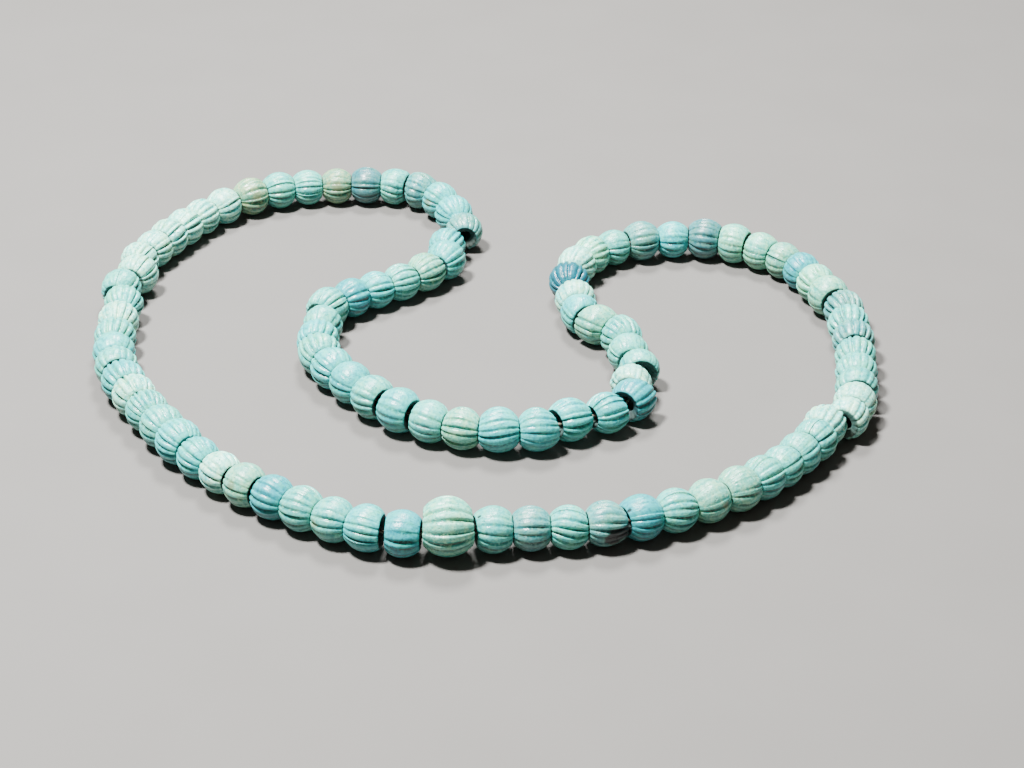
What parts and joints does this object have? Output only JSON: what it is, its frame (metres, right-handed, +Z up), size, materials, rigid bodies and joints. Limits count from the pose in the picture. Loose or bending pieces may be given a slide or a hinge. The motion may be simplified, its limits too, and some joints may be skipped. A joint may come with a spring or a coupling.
{
  "type": "melon bead necklace",
  "caption": "Loop of fluted turquoise melon beads of opaque glass on a thread, one larger bead at the front, lying flat in two lobes.",
  "frame": {"origin": "on the surface that the beads lie on, below the middle of the loop's bounding box", "axes": "+X to the right along the front run of beads, +Y to the back, away from the larger centre bead, +Z up from the surface"},
  "size_m": [0.2208, 0.2, 0.0155],
  "materials": {
    "pale_glass": "opaque, worn satin",
    "centre_glass": "opaque, worn satin",
    "thread": "twisted, matt"
  },
  "bodies": {
    "root": {"thread": "thread", "centre_bead": "centre_glass", "string_right": "pale_glass", "string_left": "pale_glass"}
  },
  "joints": []
}
